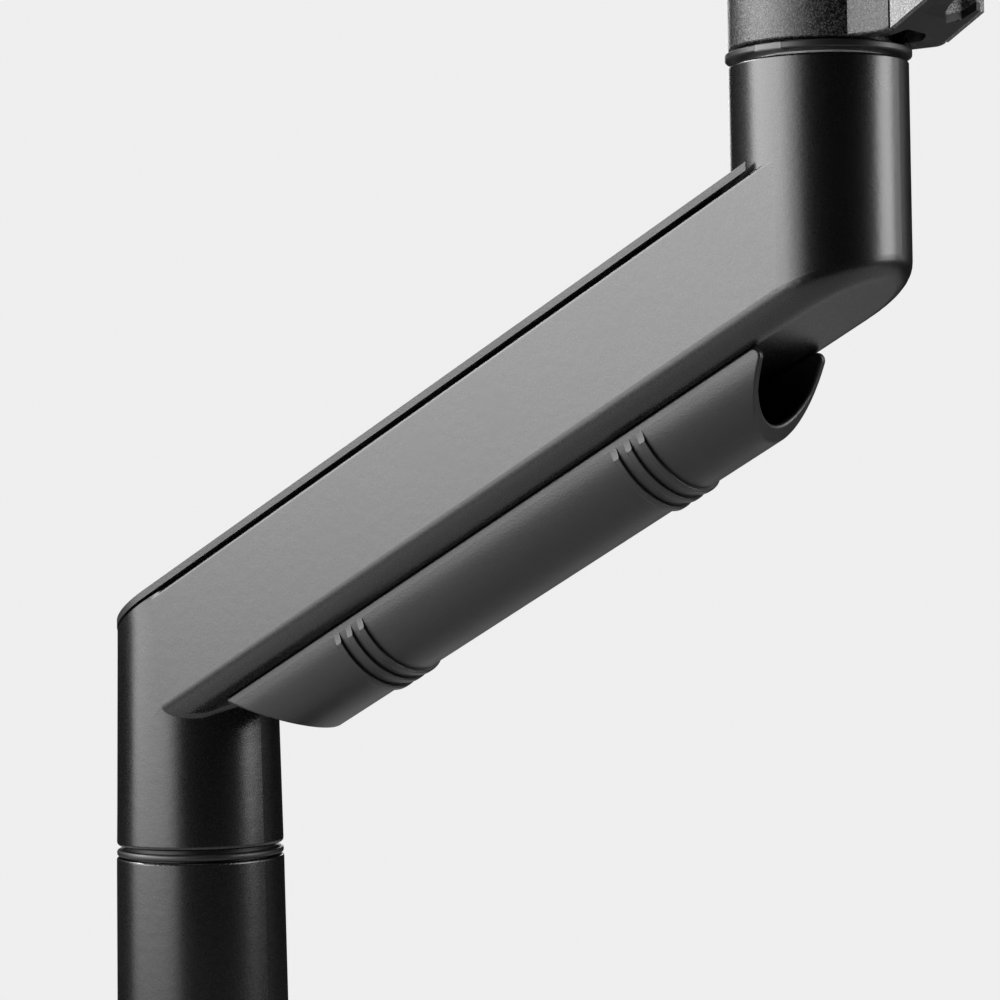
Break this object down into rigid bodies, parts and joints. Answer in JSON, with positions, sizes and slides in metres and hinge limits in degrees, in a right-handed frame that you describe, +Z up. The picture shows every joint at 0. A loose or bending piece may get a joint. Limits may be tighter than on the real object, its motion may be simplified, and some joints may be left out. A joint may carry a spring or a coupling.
{
  "type": "monitor arm",
  "caption": "Desk-clamped monitor arm: a round post carries a sloping swivel link with a clip-on cable trough, then a spring-balanced arm that ends in a tilting, turning screen plate.",
  "frame": {"origin": "on the desk top, under the base pad, on the post's upright axis", "axes": "+Z up; +X from the post along the link and the arm to the screen plate, all in line at rest; +Y to the arm's left seen from the post"},
  "size_m": [0.6847, 0.118, 0.554],
  "materials": {
    "bearing_plastic": "pale self-lubricating plastic",
    "black_plastic": "matte black moulded plastic",
    "black_rubber": "black rubber",
    "black_steel": "blackened steel",
    "grey_plastic": "dark grey matte plastic",
    "ring_plastic": "smooth black moulded plastic",
    "satin_black_paint": "satin black paint with a fine mottle",
    "spring_steel": "oiled spring steel",
    "textured_black_paint": "textured black powder coat with a fine sparkle",
    "zinc_steel": "zinc-plated steel"
  },
  "bodies": {
    "desk_mount": {"base_pad": "black_rubber", "base_plate": "satin_black_paint", "clamp_bracket": "satin_black_paint", "bracket_bolts": "black_steel", "post": "satin_black_paint", "post_screws": "zinc_steel", "post_spindle": "zinc_steel", "spindle_nut": "zinc_steel", "lower_ring": "ring_plastic"},
    "clamp_pad": {"pressure_plate": "satin_black_paint"},
    "clamp_handle": {"clamp_screw": "zinc_steel", "clamp_knob": "black_plastic"},
    "link": {"link_casting": "satin_black_paint", "link_lid": "black_plastic", "lid_clips": "black_plastic", "lower_sleeve": "bearing_plastic", "upper_sleeve": "bearing_plastic", "cable_cover": "black_plastic", "cover_clips": "black_plastic"},
    "shoulder": {"stop_ring": "ring_plastic", "stop_key": "grey_plastic", "shoulder_casting": "textured_black_paint", "arm_spindle": "zinc_steel", "shoulder_cap": "black_plastic", "bracket_pins": "zinc_steel", "pivot_bracket": "textured_black_paint", "rear_pins": "zinc_steel", "rear_washers": "bearing_plastic", "under_cover": "grey_plastic"},
    "tension_key": {"tension_screw": "black_steel"},
    "tension_nut": {"tension_anchor": "zinc_steel", "anchor_pin": "zinc_steel"},
    "lower_arm": {"lower_arm_channel": "textured_black_paint", "channel_bushes": "bearing_plastic", "cable_clips": "black_plastic", "spring_stop": "zinc_steel", "lift_spring": "spring_steel"},
    "spring_puller": {"spring_seat": "zinc_steel", "pull_rod": "zinc_steel", "pull_nut": "zinc_steel"},
    "upper_arm": {"upper_arm_cover": "textured_black_paint", "cover_bushes": "bearing_plastic"},
    "front_end": {"front_bracket": "textured_black_paint", "front_pins": "zinc_steel", "front_washers": "bearing_plastic", "pan_bush": "bearing_plastic"},
    "head": {"head_yoke": "textured_black_paint", "pan_spindle": "zinc_steel", "pan_screw": "black_steel", "tilt_bolt": "black_steel", "tilt_nut": "zinc_steel"},
    "tilt_head": {"tilt_block": "textured_black_paint", "friction_discs": "bearing_plastic", "rotor_bolt": "zinc_steel"},
    "screen_mount": {"plate_carrier": "black_plastic", "screen_plate": "satin_black_paint", "plate_bolts": "black_steel"},
    "latch": {"release_latch": "grey_plastic"}
  },
  "joints": [
    {"name": "link_swivel", "type": "hinge", "parent": "desk_mount", "child": "link", "pos_m": [0, 0, 0.1306], "axis": [0, 0, 1], "range_deg": [-90, 90]},
    {"name": "arm_swivel", "type": "hinge", "parent": "link", "child": "shoulder", "pos_m": [0.2032, 0, 0.33], "axis": [0, 0, 1], "range_deg": [-150, 150]},
    {"name": "tension_turn", "type": "hinge", "parent": "shoulder", "child": "tension_key", "pos_m": [0.2412, 0, 0.3495], "axis": [0, 0, 1], "range_deg": [-434, 434]},
    {"name": "anchor_travel", "type": "slide", "parent": "shoulder", "child": "tension_nut", "axis": [0, 0, 1], "range_m": [-0.0015, 0.0015]},
    {"name": "arm_lift", "type": "hinge", "parent": "shoulder", "child": "lower_arm", "pos_m": [0.2412, 0, 0.36], "axis": [0, -1, 0], "range_deg": [-25, 40]},
    {"name": "top_link_turn", "type": "hinge", "parent": "shoulder", "child": "upper_arm", "pos_m": [0.2412, 0, 0.39], "axis": [0, -1, 0], "range_deg": [-25.5, 40.5]},
    {"name": "spring_travel", "type": "slide", "parent": "lower_arm", "child": "spring_puller", "axis": [0.9944, 0, -0.1052], "range_m": [-0.009, 0.014], "deforming": ["lift_spring"]},
    {"name": "front_level", "type": "hinge", "parent": "lower_arm", "child": "front_end", "pos_m": [0.5312, 0, 0.36], "axis": [0, -1, 0], "range_deg": [-40.5, 25.5]},
    {"name": "head_pan", "type": "hinge", "parent": "front_end", "child": "head", "pos_m": [0.5572, 0, 0.351], "axis": [0, 0, 1], "range_deg": [-90, 90]},
    {"name": "head_tilt", "type": "hinge", "parent": "head", "child": "tilt_head", "pos_m": [0.5892, 0, 0.343], "axis": [0, -1, 0], "range_deg": [-20, 30]},
    {"name": "plate_turn", "type": "hinge", "parent": "tilt_head", "child": "screen_mount", "pos_m": [0.6222, 0, 0.343], "axis": [1, 0, 0], "range_deg": [-90, 90]},
    {"name": "latch_slide", "type": "slide", "parent": "screen_mount", "child": "latch", "axis": [0, 0, -1], "range_m": [0, 0.005], "stiffness_N_per_m": 300, "springref_m": -0.003},
    {"name": "clamp_travel", "type": "slide", "parent": "desk_mount", "child": "clamp_pad", "axis": [0, 0, 1], "range_m": [-0.02, 0.028]},
    {"name": "clamp_turn", "type": "hinge", "parent": "clamp_pad", "child": "clamp_handle", "pos_m": [-0.008, 0, -0.046], "axis": [0, 0, 1], "range_deg": [-4810, 6730]}
  ],
  "couplings": [
    {"joint": "top_link_turn", "follows": "arm_lift", "ratio": 1},
    {"joint": "front_level", "follows": "arm_lift", "ratio": -1},
    {"joint": "spring_travel", "follows": "arm_lift", "m_per_rad": 0.019},
    {"joint": "tension_turn", "follows": "anchor_travel", "rad_per_m": 5026.5},
    {"joint": "clamp_turn", "follows": "clamp_travel", "rad_per_m": 4188.8}
  ]
}
